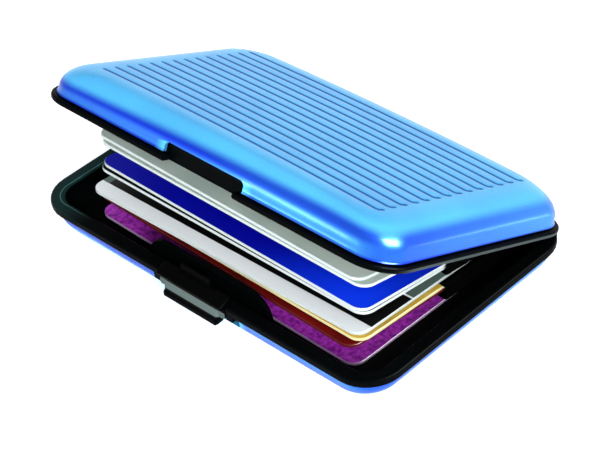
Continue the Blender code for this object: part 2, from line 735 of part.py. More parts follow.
def finger_bar_profile():
    """Ledge that slopes down and out to a round bar for the fingertip."""
    bar_top = RIM_TOP - BAR_TOP_DROP
    rod = (-HALF_DEPTH - BAR_REACH + BAR_ROD_RADIUS, RIM_TOP - BAR_ROD_DROP)
    back = rod[0] + BAR_ROD_RADIUS + BAR_DEPTH
    profile = [(BUTTON_REAR_Y - BAR_DEPTH, bar_top), (-HALF_DEPTH - NECK_REACH, bar_top)]
    profile += arc(rod, BAR_ROD_RADIUS, BAR_ROD_MEET, 3 * pi / 2, EDGE_STEPS + 1)
    profile += [(back, rod[1] - BAR_ROD_RADIUS / 2), (back, rod[1] + BAR_ROD_RADIUS)]
    return profile


def tooth_profile(top):
    """Upright at the back of the button, its outer edge bevelled to ride under the lid's wall."""
    tip = top + TOOTH_RISE
    back = BUTTON_REAR_Y + BUTTON_WALL_ROOM - CLEARANCE
    return [
        (back, top - TOOTH_ROOT),
        (back, tip),
        (BUTTON_REAR_Y - TOOTH_THICKNESS / 2, tip),
        (BUTTON_REAR_Y - TOOTH_THICKNESS, tip - TOOTH_THICKNESS),
        (BUTTON_REAR_Y - TOOTH_THICKNESS, top - TOOTH_ROOT),
    ]


def make_latch_button():
    """Button with a finger bar below its axis and a tooth above, turning on the latch pin."""
    top = MIDPLANE + BUTTON_TOP_RISE
    under = RIM_UNDERSIDE - LUG_DROP
    axis = (0.0, LATCH_PIN_Y, LATCH_PIN_Z)
    body = bmesh.new()
    prism_along_x(body, button_body_profile(top, under), BUTTON_HALF_WIDTH, BUTTON_END_CHAMFER)
    button = new_piece("latch_button", body, black_plastic("latch_button_black"), None, axis)
    finger = bmesh.new()
    prism_along_x(finger, finger_bar_profile(), BAR_HALF_WIDTH, BAR_END_CHAMFER)
    add_boolean(button, "finger_bar", finger, "UNION", None, axis)
    tooth = bmesh.new()
    prism_along_x(tooth, tooth_profile(top), TOOTH_HALF_WIDTH)
    add_boolean(button, "tooth", tooth, "UNION", None, axis)
    bore = bmesh.new()
    radius = LATCH_PIN_RADIUS + CLEARANCE
    bar_along_x(bore, -LUG_END, LUG_END, axis[1], axis[2], radius)
    add_boolean(button, "button_bore", bore, "DIFFERENCE", None, axis)
    return button


def make_pin(name, half_length, axis_y, axis_z, radius):
    bm = bmesh.new()
    bar_along_x(bm, -half_length, half_length, axis_y, axis_z, radius)
    return new_piece(name, bm, steel(name + "_steel"))


def make_lid():
    """The lid's pieces hang on an empty that stands on the hinge axis."""
    axis = (0.0, HINGE_Y, MIDPLANE)
    lid = bpy.data.objects.new("lid_hinge_axis", None)
    bpy.context.scene.collection.objects.link(lid)
    lid.location = axis
    lid.rotation_euler = (-LID_REST_ANGLE, 0.0, 0.0)
    make_top_shell(lid, axis)
    make_top_frame(lid, axis)
    make_pocket_roof(lid, axis)
    return lid


def build():
    clear_scene()
    make_bottom_shell()
    make_bottom_frame()
    make_pocket_floor()
    make_pin("hinge_pin", KNUCKLE_SPAN / 2, HINGE_Y, MIDPLANE, HINGE_PIN_RADIUS)
    make_pin("latch_pin", LUG_END, LATCH_PIN_Y, LATCH_PIN_Z, LATCH_PIN_RADIUS)
    make_latch_button()
    make_lid()
    leaves = make_leaves()
    make_cards(leaves)
    bpy.context.view_layer.update()


build()
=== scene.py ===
# %% [markdown]
# # An aluminium card holder, dressed for its portrait
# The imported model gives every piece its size, its place and its joints. This lesson
# puts the finishes on it: dyed aluminium, moulded black plastic and printed cards.
# Everything is in metres, and the case rests on its lower shell with its latch at -Y.

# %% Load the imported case
import json
from math import asin, cos, hypot, pi, radians, sin

import bmesh
import bpy
import numpy as np
from mathutils import Matrix, Vector


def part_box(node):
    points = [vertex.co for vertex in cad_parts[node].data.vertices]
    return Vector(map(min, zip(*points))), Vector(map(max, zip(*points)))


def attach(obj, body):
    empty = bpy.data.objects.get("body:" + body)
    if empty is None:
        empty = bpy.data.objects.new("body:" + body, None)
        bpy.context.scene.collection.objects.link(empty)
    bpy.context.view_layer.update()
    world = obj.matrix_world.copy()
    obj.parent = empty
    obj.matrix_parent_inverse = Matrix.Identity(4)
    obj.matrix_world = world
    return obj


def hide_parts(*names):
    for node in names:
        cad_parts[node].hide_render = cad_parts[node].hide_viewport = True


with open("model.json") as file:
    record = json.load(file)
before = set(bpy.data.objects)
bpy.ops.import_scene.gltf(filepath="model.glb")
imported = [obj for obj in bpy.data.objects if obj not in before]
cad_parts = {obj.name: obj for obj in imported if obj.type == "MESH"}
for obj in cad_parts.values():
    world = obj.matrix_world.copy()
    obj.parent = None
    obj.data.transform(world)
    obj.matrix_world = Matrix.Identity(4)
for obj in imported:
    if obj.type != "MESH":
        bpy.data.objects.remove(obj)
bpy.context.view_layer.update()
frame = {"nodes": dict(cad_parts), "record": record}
record = frame["record"]

# %% [markdown]
# ## Sizes that the looks need
# The case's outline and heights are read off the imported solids, so that the dressed
# pieces fit them. Only what the solids can't tell, such as the width of the shell's
# rolled edge, is written down here. A card holder is a small thing, so a length is
# written as a number of millimetres times MM, which makes it metres.

# %% Case sizes
MM = 0.001
frame_low, frame_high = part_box("bottom_frame")
HALF_LENGTH = frame_high[0]
HALF_DEPTH = -frame_low[1]
TRAY_SHELL_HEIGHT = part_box("bottom_shell")[1][2]
LID_SHELL_HEIGHT = 7.6 * MM
SHELL_WALL = 0.8 * MM
SIDE_ROLL_WIDTH = 5.0 * MM
END_ROLL_WIDTH = 9.5 * MM
ROLL_HEIGHT = 6.2 * MM
CORNER_RADIUS = 9.2 * MM
RIM_OVERHANG = 1.5 * MM
LID_CROWN = 0.6 * MM
print("case", round(2 * HALF_LENGTH / MM, 1), "x", round(2 * HALF_DEPTH / MM, 1), "mm")

# %% Where the lid hangs
joints = {joint["name"]: joint for joint in record["behaviour"]["joints"]}
hinge = joints["lid_hinge"]
HINGE_POINT = Vector(hinge["pos_m"])
MIDPLANE = HINGE_POINT.z
OPEN_ANGLE = radians(-hinge["range_deg"][0])
swing_open = Matrix.Rotation(-OPEN_ANGLE, 4, "X")
LID_TURN = Matrix.Translation(HINGE_POINT) @ swing_open @ Matrix.Translation(-HINGE_POINT)
print("lid open by", -hinge["range_deg"][0], "degrees")

# %% [markdown]
# ## From a mesh to a piece
# Each dressed piece is a mesh with smooth faces that turn sharp only at real edges.
# It rides on the body that carries it, and takes the finishes that it is given.

# %% Making a piece
SHARP_ANGLE = radians(32)


def make_piece(name, bm, finishes, place=Matrix.Identity(4)):
    bmesh.ops.recalc_face_normals(bm, faces=bm.faces)
    mesh = bpy.data.meshes.new(name)
    bm.to_mesh(mesh)
    bm.free()
    for finish in finishes:
        mesh.materials.append(finish)
    mesh.shade_smooth()
    mesh.set_sharp_from_angle(angle=SHARP_ANGLE)
    piece = bpy.data.objects.new(name, mesh)
    bpy.context.scene.collection.objects.link(piece)
    piece.matrix_world = place
    return piece


def settle(piece):
    """Writes a piece's turn into its mesh, so that its box is measured along the room's axes."""
    piece.data.transform(piece.matrix_world)
    piece.matrix_world = Matrix.Identity(4)


# %% Cutting a piece
def cut_away(piece, cutter_bm):
    """Cuts a helper solid out of a piece for good, and removes the helper."""
    bmesh.ops.recalc_face_normals(cutter_bm, faces=cutter_bm.faces)
    mesh = bpy.data.meshes.new("cutter")
    cutter_bm.to_mesh(mesh)
    cutter_bm.free()
    cutter = bpy.data.objects.new("cutter", mesh)
    bpy.context.scene.collection.objects.link(cutter)
    cutter.matrix_world = piece.matrix_world
    modifier = piece.modifiers.new("cut", "BOOLEAN")
    modifier.operation = "DIFFERENCE"
    modifier.solver = "EXACT"
    modifier.object = cutter
    bpy.context.view_layer.update()
    evaluated = piece.evaluated_get(bpy.context.evaluated_depsgraph_get())
    result = bpy.data.meshes.new_from_object(evaluated)
    piece.modifiers.clear()
    piece.data = result
    result.set_sharp_from_angle(angle=SHARP_ANGLE)
    bpy.data.objects.remove(cutter, do_unlink=True)


# %% [markdown]
# ## Rounded outlines and skins
# The case is the same rounded rectangle all the way up, only moved in or out, so a
# skin stretched over a row of such rings makes shells, cards and the floor alike.

# %% Rings and skins
CORNER_STEPS = 14
LONG_SIDE_STEPS = 24


def arc(centre, radius, start, end, steps):
    turns = [start + (end - start) * index / steps for index in range(steps + 1)]
    return [(centre[0] + radius * cos(turn), centre[1] + radius * sin(turn)) for turn in turns]


def rounded_ring(half_x, half_y, radius, corner_steps=CORNER_STEPS, side_steps=LONG_SIDE_STEPS):
    """Rounded rectangle, anticlockwise, with extra points along its two long sides."""
    points = []
    for quarter, (side_x, side_y) in enumerate(((1, 1), (-1, 1), (-1, -1), (1, -1))):
        centre = (side_x * (half_x - radius), side_y * (half_y - radius))
        points += arc(centre, radius, quarter * pi / 2, (quarter + 1) * pi / 2, corner_steps)
        if quarter in (0, 2) and side_steps > 1:
            reach = half_x - radius
            for step in range(1, side_steps):
                points.append((side_x * reach * (1 - 2 * step / side_steps), side_y * half_y))
    return points


def skin(bm, rings, cap_start=False, cap_end=False):
    """Joins rings of equally many points with quads, and returns the rows of vertices."""
    rows = [[bm.verts.new(point) for point in ring] for ring in rings]
    for lower, upper in zip(rows, rows[1:]):
        for index, vert in enumerate(lower):
            after = (index + 1) % len(lower)
            bm.faces.new((vert, lower[after], upper[after], upper[index]))
    if cap_start:
        bm.faces.new(rows[0])
    if cap_end:
        bm.faces.new(rows[-1])
    return rows


print("points on the case's outline:", len(rounded_ring(HALF_LENGTH, HALF_DEPTH, CORNER_RADIUS)))

# %% [markdown]
# ## Node helpers
# A finish starts from the Principled shader. No real surface is one even value, so a
# noise, scaled in metres on the piece, moves the colour or the roughness a little. On
# metal and plastic a fine one also tilts the surface by a few thousandths of a
# millimetre. These helpers keep each finish down to the few lines that make it special.

# %% Finishes from nodes
def new_finish(name, roughness, metallic=0.0):
    finish = bpy.data.materials.new(name)
    finish.use_nodes = True
    shader = finish.node_tree.nodes["Principled BSDF"]
    shader.inputs["Roughness"].default_value = roughness
    shader.inputs["Metallic"].default_value = metallic
    return finish


def add_node(finish, kind, **values):
    node = finish.node_tree.nodes.new(kind)
    for key, value in values.items():
        if key in node.inputs:
            node.inputs[key].default_value = value
        else:
            setattr(node, key, value)
    return node


def wire(finish, source, target):
    finish.node_tree.links.new(source, target)


def principled(finish, socket):
    return finish.node_tree.nodes["Principled BSDF"].inputs[socket]


# %% Values from nodes
def mix_colours(finish, share, first, second):
    """Returns a socket with the first colour where share is 0 and the second where it is 1."""
    mix = add_node(finish, "ShaderNodeMix", data_type="RGBA")
    for value, socket in ((share, 0), (first, 6), (second, 7)):
        if isinstance(value, bpy.types.NodeSocket):
            wire(finish, value, mix.inputs[socket])
        else:
            mix.inputs[socket].default_value = value if socket == 0 else (*value, 1.0)
    return mix.outputs[2]


def ramp(finish, value, low, high, low_to=0.0, high_to=1.0):
    """Smoothly maps a value between low and high."""
    node = add_node(finish, "ShaderNodeMapRange", interpolation_type="SMOOTHSTEP")
    wire(finish, value, node.inputs["Value"])
    for name, number in (("From Min", low), ("From Max", high), ("To Min", low_to), ("To Max", high_to)):
        node.inputs[name].default_value = number
    return node.outputs["Result"]


def calculate(finish, operation, first, second=0.0):
    """One step of arithmetic with sockets or numbers."""
    node = add_node(finish, "ShaderNodeMath", operation=operation)
    for socket, value in zip(node.inputs, (first, second)):
        if isinstance(value, bpy.types.NodeSocket):
            wire(finish, value, socket)
        else:
            socket.default_value = value
    return node.outputs[0]


def place_on_piece(finish):
    return add_node(finish, "ShaderNodeTexCoord").outputs["Object"]


# %% Grain from nodes
NOISE_SPAN = (0.3, 0.7)


def noise(finish, grain, detail=2.0, stretch=(1.0, 1.0, 1.0)):
    """Noise whose features are about one grain across, in metres."""
    mapping = add_node(finish, "ShaderNodeMapping")
    mapping.inputs["Scale"].default_value = stretch
    wire(finish, place_on_piece(finish), mapping.inputs["Vector"])
    node = add_node(finish, "ShaderNodeTexNoise", Scale=1.0 / grain, Detail=detail)
    wire(finish, mapping.outputs["Vector"], node.inputs["Vector"])
    return node.outputs["Fac"]


def spread(finish, grain_value, low_to=0.0, high_to=1.0):
    """Stretches the values that a noise mostly has over the values that are wanted."""
    return ramp(finish, grain_value, *NOISE_SPAN, low_to, high_to)


def add_bump(finish, height, depth, strength):
    bump = add_node(finish, "ShaderNodeBump", Distance=depth, Strength=strength)
    wire(finish, height, bump.inputs["Height"])
    wire(finish, bump.outputs["Normal"], principled(finish, "Normal"))


# %% [markdown]
# ## Dyed aluminium
# The shells are pressed from thin sheet, satin etched, and dyed blue in an anodising
# bath. Their colour also carries painted reflection and painted shade: pale on the flat
# face, a deep band where the sheet rolls over the edge, a lighter skirt, and painted shade
# in the grooves. The amount of this painted shade is stored on the mesh, as one number at
# each point, and so is how far into a groove the point lies.

# %% Blue finish
PALE_BLUE = (0.085, 0.500, 0.900)
DEEP_BLUE = (0.001, 0.026, 0.500)
GROOVE_SHADE_BLUE = (0.003, 0.120, 0.430)
METAL_SHARE = 0.40
CLOUD_SIZE, CLOUD_SPAN, CLOUD_SHARE = 22 * MM, (0.35, 0.65), 0.10
GROOVE_SHADE_SPAN = (0.06, 0.58)
SATIN_GRAIN, SATIN_DEPTH, SATIN_STRENGTH = 0.22 * MM, 0.003 * MM, 0.25
SATIN_ROUGHNESS = (0.27, 0.34)
BLUE_GLOSS, BLUE_COAT, BLUE_COAT_ROUGHNESS = 0.08, 0.12, 0.06


def stored(finish, name):
    """The number that the mesh keeps at each point under this name."""
    return add_node(finish, "ShaderNodeAttribute", attribute_name=name).outputs["Fac"]


def dyed_aluminium(name):
    finish = new_finish(name, 0.30, metallic=METAL_SHARE)
    # painted shade: pale blue on the flat face, deep blue in the painted reflection band on the roll
    body = mix_colours(finish, stored(finish, "painted_shade"), PALE_BLUE, DEEP_BLUE)
    clouds = ramp(finish, noise(finish, CLOUD_SIZE), *CLOUD_SPAN, 0.0, CLOUD_SHARE)
    body = mix_colours(finish, clouds, body, DEEP_BLUE)
    # painted shade in the grooves: a darker blue along each groove line
    line = ramp(finish, stored(finish, "groove"), *GROOVE_SHADE_SPAN)
    wire(finish, mix_colours(finish, line, body, GROOVE_SHADE_BLUE), principled(finish, "Base Color"))
    satin = noise(finish, SATIN_GRAIN, detail=3.0)
    wire(finish, spread(finish, satin, *SATIN_ROUGHNESS), principled(finish, "Roughness"))
    add_bump(finish, satin, SATIN_DEPTH, SATIN_STRENGTH)
    principled(finish, "Specular IOR Level").default_value = BLUE_GLOSS
    principled(finish, "Coat Weight").default_value = BLUE_COAT
    principled(finish, "Coat Roughness").default_value = BLUE_COAT_ROUGHNESS
    return finish


blue = dyed_aluminium("dyed_blue_aluminium")
print(blue.name, "is made of", len(blue.node_tree.nodes), "nodes")

# %% [markdown]
# ## Grooves in the pressed face
# Fourteen narrow grooves run along the lid, and each hooks towards the hinge at its
# right end. They could be cut with a tool shape, which leaves hard little faces. Here
# the flat face is a fine grid instead, and each point sinks by how near it lies to the
# middle line of a groove, so the walls come out soft as in pressed sheet.

# %% Groove depth at a point
GROOVE_COUNT = 14
GROOVE_PITCH = 3.8 * MM
GROOVE_HALF_LENGTH = 42.8 * MM
GROOVE_HOOK = 1.2 * MM
GROOVE_REACH = 0.75 * MM
GROOVE_DEPTH = 0.20 * MM


def soft_step(value, low, high):
    """0 below low and 1 above high, with an easy start and end between them."""
    share = min(max((value - low) / (high - low), 0.0), 1.0)
    return share * share * (3 - 2 * share)


def groove_line(index):
    """Where along Y a groove's middle line runs; the grooves lie evenly about Y = 0."""
    return (index - (GROOVE_COUNT - 1) / 2) * GROOVE_PITCH


def groove_strength(x, y):
    """1 on the middle line of a groove, falling to 0 at GROOVE_REACH."""
    lane = round(y / GROOVE_PITCH + (GROOVE_COUNT - 1) / 2)
    turn_x = GROOVE_HALF_LENGTH - GROOVE_HOOK
    nearest = GROOVE_REACH
    for index in (lane - 1, lane):
        if not 0 <= index < GROOVE_COUNT:
            continue
        line_y = groove_line(index)
        if x < turn_x:
            distance = hypot(max(-GROOVE_HALF_LENGTH - x, 0.0), y - line_y)
        elif y < line_y + GROOVE_HOOK:
            distance = abs(hypot(x - turn_x, y - line_y - GROOVE_HOOK) - GROOVE_HOOK)
        else:
            distance = hypot(x - GROOVE_HALF_LENGTH, y - line_y - GROOVE_HOOK)
        nearest = min(nearest, distance)
    return soft_step(1.0 - nearest / GROOVE_REACH, 0.0, 1.0)


print("outermost groove line", round(groove_line(GROOVE_COUNT - 1) / MM, 2), "mm from the middle")

# %% Grid lines of the ribbed face
FACE_HALF_X = 43.9 * MM
FACE_HALF_Y = 26.9 * MM
FINE_STEP = 0.2 * MM
START_COLUMNS, MIDDLE_STEPS, HOOK_COLUMNS = 8, 22, 12
ROW_OFFSETS_MM = (-0.75, -0.52, -0.32, -0.12, 0.12, 0.32, 0.52, 0.75, 1.0, 1.2, 1.4, 1.7, 2.2)


def grid_columns():
    """Places along X: close together where the grooves start and where they hook."""
    first = -GROOVE_HALF_LENGTH - 3 * FINE_STEP
    start = [first + FINE_STEP * step for step in range(START_COLUMNS)]
    first = GROOVE_HALF_LENGTH - GROOVE_HOOK - FINE_STEP * 2
    end = [first + FINE_STEP * step for step in range(HOOK_COLUMNS)]
    gap = (end[0] - start[-1]) / MIDDLE_STEPS
    middle = [start[-1] + gap * step for step in range(1, MIDDLE_STEPS)]
    return [-FACE_HALF_X] + start + middle + end + [FACE_HALF_X - FINE_STEP, FACE_HALF_X]


def grid_rows():
    """Places along Y: a set of lines round each groove, and some on the flat between two."""
    rows = [-FACE_HALF_Y]
    for index in range(GROOVE_COUNT):
        places = [groove_line(index) + offset * MM for offset in ROW_OFFSETS_MM]
        rows += [place for place in places if place < FACE_HALF_Y]
    return rows + [FACE_HALF_Y]


print("ribbed face:", len(grid_columns()), "columns and", len(grid_rows()), "rows")

# %% [markdown]
# ## The rolled edge
# The sheet rolls over from the flat face to an upright skirt, in 5 mm along the sides
# and in 9.5 mm at the ends. Every ring of the shell is therefore the case's outline
# moved in by two different amounts. A quarter turn of roll is counted in radians: 0 at
# the face and pi / 2 at the skirt.

# %% Rolled edge
CORNER = CORNER_RADIUS - RIM_OVERHANG
TURN_SEARCH_STEPS = 18


def rolled_place(turn, depth=0.0):
    """(side inset, height, end inset, corner) on the roll; depth is into the sheet."""
    side = RIM_OVERHANG + SIDE_ROLL_WIDTH - (SIDE_ROLL_WIDTH - depth) * sin(turn)
    end = RIM_OVERHANG + END_ROLL_WIDTH - (END_ROLL_WIDTH - depth) * sin(turn)
    return side, ROLL_HEIGHT - (ROLL_HEIGHT - depth) * cos(turn), end, CORNER - depth


def turn_at(x, y):
    """Turn of the roll above a place near the face's corner; 0 on the flat."""
    low, high = 0.0, 1.0
    for _ in range(TURN_SEARCH_STEPS):
        middle = (low + high) / 2
        side = HALF_DEPTH - RIM_OVERHANG - SIDE_ROLL_WIDTH * (1 - middle)
        end = HALF_LENGTH - RIM_OVERHANG - END_ROLL_WIDTH * (1 - middle)
        out_x, out_y = abs(x) - end + CORNER, abs(y) - side + CORNER
        outside = hypot(max(out_x, 0.0), max(out_y, 0.0)) > CORNER
        low, high = (middle, high) if outside else (low, middle)
    return asin(high) if low > 0 else 0.0


print("height of the roll half way round:", round(rolled_place(pi / 4)[1] / MM, 2), "mm")

# %% [markdown]
# The painted shade is deepest in a band along the roll, a painted reflection of darker
# surroundings, and eases again on the skirt, where a painted reflection makes it lighter.
# Towards -X the band lies lower, and at the right end it fades towards the hinge. The
# ribbed part of the face is painted a touch deeper than the smooth border round it.

# %% Depth of the painted shade
# painted shade: where the band on the roll starts, is full, eases and turns paler
SHADE_BAND_STARTS, SHADE_BAND_FULL = radians(35), radians(57)
SHADE_BAND_EASES, SHADE_BAND_PALER = radians(66), radians(79)
SHADE_BAND_SINKS, SINKS_FROM, SINKS_OVER = radians(22), 35 * MM, 80 * MM
RIGHT_PART, RIGHT_END = (-10 * MM, 20 * MM), (44 * MM, 51 * MM)
END_FADES = (-24 * MM, -4 * MM)
LESS_ON_RIGHT, LESS_AT_END = 0.09, 0.24
EASES_BY, EASES_MORE_ON_RIGHT, EASES_LESS_AT_END = 0.26, 0.08, 0.28
# painted shade: the ribbed face is painted a touch darker than its smooth border
RIBBED_PAINTED_SHADE, BORDER_X, BORDER_Y = 0.07, 2 * MM, 3 * MM


def roll_dye(turn, x, y):
    """How deep the painted shade is at an angle round the rolled edge, from the face to the skirt."""
    sunk = SHADE_BAND_SINKS * min(max((SINKS_FROM - x) / SINKS_OVER, 0.0), 1.0)
    right, end = soft_step(x, *RIGHT_PART), soft_step(x, *RIGHT_END)
    deepest = 1.0 - LESS_ON_RIGHT * right - LESS_AT_END * end * soft_step(y, *END_FADES)
    paler = EASES_BY + EASES_MORE_ON_RIGHT * right - EASES_LESS_AT_END * end
    dyed = deepest * soft_step(turn - sunk, SHADE_BAND_STARTS, SHADE_BAND_FULL)
    return dyed - paler * soft_step(turn - sunk / 2, SHADE_BAND_EASES, SHADE_BAND_PALER)


def ribbed_share(x, y):
    """1 where the grooves lie close together, and 0 on the smooth border round them."""
    across = soft_step(abs(y), FACE_HALF_Y, FACE_HALF_Y - BORDER_Y)
    return across * soft_step(abs(x), FACE_HALF_X, FACE_HALF_X - BORDER_X)


for degrees in (30, 60, 90):
    print("dye at", degrees, "degrees of roll:", round(roll_dye(radians(degrees), 0.0, -HALF_DEPTH), 2))

# %% [markdown]
# ## The shells
# A shell is a shallow tray: the flat face, the rolled edge, a straight skirt that
# flares a little where it meets the black rim, and the same way back on the inside.
# Its section is written once and carried round the outline. The lid's face also bulges
# by 0.6 mm, because a wide cover that is pressed quite flat looks sunken.

# %% Shell profile
FLARE = 0.3 * MM
FLARE_HEIGHT = 0.6 * MM
EDGE_BREAK = 0.12 * MM
FLARE_SHARES = (0.4, 0.75, 1.0)
ROLL_STEPS, INNER_STEPS = 16, 5
FACE_RING_TURN = 0.24


def shell_profile(height):
    """(place, turn) from the edge of the face, over the skirt, to the floor inside."""
    profile = []
    for step in range(ROLL_STEPS + 1):
        turn = FACE_RING_TURN + (pi / 2 - FACE_RING_TURN) * step / ROLL_STEPS
        profile.append((rolled_place(turn), turn))

    def upright(inset, z):
        profile.append(((inset, z, inset, CORNER_RADIUS - inset), pi / 2))

    start = max(height - FLARE_HEIGHT, ROLL_HEIGHT)
    if start > ROLL_HEIGHT + EDGE_BREAK:
        upright(RIM_OVERHANG, start)
    for share in FLARE_SHARES:
        z = start + (height - EDGE_BREAK - start) * share
        upright(RIM_OVERHANG - FLARE * share ** 2, z)
    edge = RIM_OVERHANG - FLARE
    inner = RIM_OVERHANG + SHELL_WALL
    upright(edge + EDGE_BREAK, height)
    upright(inner - EDGE_BREAK, height)
    upright(inner, height - EDGE_BREAK)
    for step in range(INNER_STEPS + 1):
        profile.append((rolled_place(pi / 2 * (1 - step / INNER_STEPS), SHELL_WALL), pi / 2))
    return profile


print("rings in the lower shell:", len(shell_profile(TRAY_SHELL_HEIGHT)))
print("rings in the lid's shell:", len(shell_profile(LID_SHELL_HEIGHT)))

# %% Parts of the shell mesh
# painted shade along the shell's edge where it meets the black rim
EDGE_PAINTED_SHADE = 0.3


def add_roll_and_skirt(bm, painted_shade, height):
    """The rings from the rolled edge round to the inside; returns the ring next to the face."""
    profile = shell_profile(height)
    rings = []
    for (side_inset, z, end_inset, corner), _ in profile:
        outline = rounded_ring(HALF_LENGTH - end_inset, HALF_DEPTH - side_inset, corner)
        rings.append([(x, y, z) for x, y in outline])
    rows = skin(bm, rings, cap_end=True)
    for row, ((_, z, _, _), turn) in zip(rows, profile):
        # painted shade: the band on the roll, and more near the rim
        near_edge = soft_step(z, height - FLARE_HEIGHT, height)
        for vert in row:
            vert[painted_shade] = min(roll_dye(turn, vert.co.x, vert.co.y) + EDGE_PAINTED_SHADE * near_edge, 1.0)
    return rows[0]


def add_flat_grid(bm):
    columns, lines = grid_columns(), grid_rows()
    grid = [[bm.verts.new((x, y, 0.0)) for x in columns] for y in lines]
    for lower, upper in zip(grid, grid[1:]):
        for index in range(len(columns) - 1):
            bm.faces.new((lower[index], lower[index + 1], upper[index + 1], upper[index]))
    return grid


def fill_between(bm, ring, grid):
    """Fills the strip between the first ring of the roll and the border of the grid."""
    border = grid[0] + [row[-1] for row in grid[1:]]
    border += grid[-1][-2::-1] + [row[0] for row in grid[-2:0:-1]]
    edges = []
    for loop in (ring, border):
        for index, vert in enumerate(loop):
            edges.append(bm.edges.get((vert, loop[(index + 1) % len(loop)])))
    bmesh.ops.triangle_fill(bm, use_beauty=True, use_dissolve=False, edges=edges, normal=(0, 0, -1))


# %% Shell mesh
def press_grooves(grid, painted_shade, groove):
    """Sinks the grid into its grooves and down the start of the roll, and stores its painted shade."""
    for row in grid:
        for vert in row:
            x, y, _ = vert.co
            strength, turn = groove_strength(x, y), turn_at(x, y)
            vert[groove] = strength
            # painted shade: the band on the roll, and a little over the ribbed face
            vert[painted_shade] = max(roll_dye(turn, x, y), RIBBED_PAINTED_SHADE * ribbed_share(x, y))
            vert.co.z = ROLL_HEIGHT * (1 - cos(turn)) + GROOVE_DEPTH * strength


def shell_mesh(height, crown):
    """The lower shell, resting on its face; crown lifts the middle of the face outwards."""
    bm = bmesh.new()
    painted_shade = bm.verts.layers.float.new("painted_shade")
    groove = bm.verts.layers.float.new("groove")
    ring = add_roll_and_skirt(bm, painted_shade, height)
    grid = add_flat_grid(bm)
    fill_between(bm, ring, grid)
    press_grooves(grid, painted_shade, groove)
    shoulder = HALF_LENGTH - RIM_OVERHANG - END_ROLL_WIDTH
    for vert in bm.verts:
        bulge = crown * max(0.0, 1.0 - (vert.co.x / shoulder) ** 2)
        vert.co.z -= bulge * (1.0 - vert.co.z / height)
    return bm


# %% [markdown]
# ## Notches for the latch
# Both shells are cut open at the middle of the front, the lower one deeply for the
# button, the lid's only along its edge. A helper solid with round corners does this,
# and then it is taken out of the scene. The lid is made upside down as a second lower
# shell, mirrored at the plane where the halves meet, and swung open about the hinge.

# %% Notch tools
NOTCH_INTO_FRONT = 3.45 * MM
PAST_FRONT = 20 * MM
PAST_EDGE = 0.3 * MM
NOTCH_CORNER_STEPS = 8


def notch_mesh(half_width, open_z, end_z, radius):
    """Runs from open_z, past the shell's edge, to its closed end at end_z."""
    way = 1 if end_z > open_z else -1
    corner_z = end_z - way * radius
    outline = [(-half_width, open_z)]
    outline += arc((-half_width + radius, corner_z), radius, pi, pi - way * pi / 2, NOTCH_CORNER_STEPS)
    outline += arc((half_width - radius, corner_z), radius, way * pi / 2, 0.0, NOTCH_CORNER_STEPS)
    outline += [(half_width, open_z)]
    bm = bmesh.new()
    ends = (-HALF_DEPTH - PAST_FRONT, -HALF_DEPTH + NOTCH_INTO_FRONT)
    skin(bm, [[(x, y, z) for x, z in outline] for y in ends], cap_start=True, cap_end=True)
    return bm


# %% Make the lower shell
bottom = make_piece("lower_shell_dressed", shell_mesh(TRAY_SHELL_HEIGHT, 0.0), [blue])
cut_away(bottom, notch_mesh(half_width=13.0 * MM, open_z=TRAY_SHELL_HEIGHT + PAST_EDGE,
                            end_z=2.5 * MM, radius=2.0 * MM))
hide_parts("bottom_shell")
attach(bottom, "base")
print("faces of the lower shell:", len(bottom.data.polygons))

# %% Make the lid's shell
lid_bm = shell_mesh(LID_SHELL_HEIGHT, LID_CROWN)
for vert in lid_bm.verts:
    vert.co.z = 2 * MIDPLANE - vert.co.z
top = make_piece("lid_shell_dressed", lid_bm, [blue], LID_TURN)
lid_edge = 2 * MIDPLANE - LID_SHELL_HEIGHT
cut_away(top, notch_mesh(half_width=12.3 * MM, open_z=lid_edge - PAST_EDGE,
                         end_z=lid_edge + 2.6 * MM, radius=1.2 * MM))
settle(top)
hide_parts("top_shell")
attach(top, "lid")
print("faces of the lid's shell:", len(top.data.polygons))

# %% [markdown]
# ## Moulded black plastic
# The frames and the button are moulded in a hard black plastic with a fine satin
# grain. It is so black that only its edges show, and a few places that carry a painted
# reflection. A usual plastic gloss would turn it grey in a white room, so the gloss is kept
# very low, over a grain about a sixth of a millimetre wide.

# %% Black finishes
HAZE_SIZE, HAZE_SPAN, HAZE_SHARE, HAZE_LIFT = 9 * MM, (0.35, 0.7), 0.5, 1.8
GRAIN_DEPTH, GRAIN_STRENGTH = 0.006 * MM, 0.4
SMOOTHER_BY, ROUGHER_BY = 0.05, 0.07


def moulded_black(name, colour, roughness, grain, gloss, painted_sheen=None, painted_sheen_colour=None):
    """The optional function gives the share of a lighter colour, painted as a reflection."""
    finish = new_finish(name, roughness)
    speckle = noise(finish, grain, detail=3.0)
    haze = ramp(finish, noise(finish, HAZE_SIZE), *HAZE_SPAN, 0.0, HAZE_SHARE)
    body = mix_colours(finish, haze, colour, tuple(channel * HAZE_LIFT for channel in colour))
    # painted reflection: a lighter colour mixed in where the given function says
    if painted_sheen:
        body = mix_colours(finish, painted_sheen(finish), body, painted_sheen_colour)
    wire(finish, body, principled(finish, "Base Color"))
    satin = spread(finish, speckle, roughness - SMOOTHER_BY, roughness + ROUGHER_BY)
    wire(finish, satin, principled(finish, "Roughness"))
    add_bump(finish, speckle, GRAIN_DEPTH, GRAIN_STRENGTH)
    principled(finish, "Specular IOR Level").default_value = gloss
    return finish


# %% [markdown]
# Three places carry a painted reflection and are lighter than the rest: the lower half
# of the lid's rim at its right end, the tray's rim at its left end, with a painted highlight
# line along its inner edge, and the sloped ledge of the button. Separate pieces would do,
# but these are only places on one moulding, so each is a share that comparisons with
# lengths on the piece make.

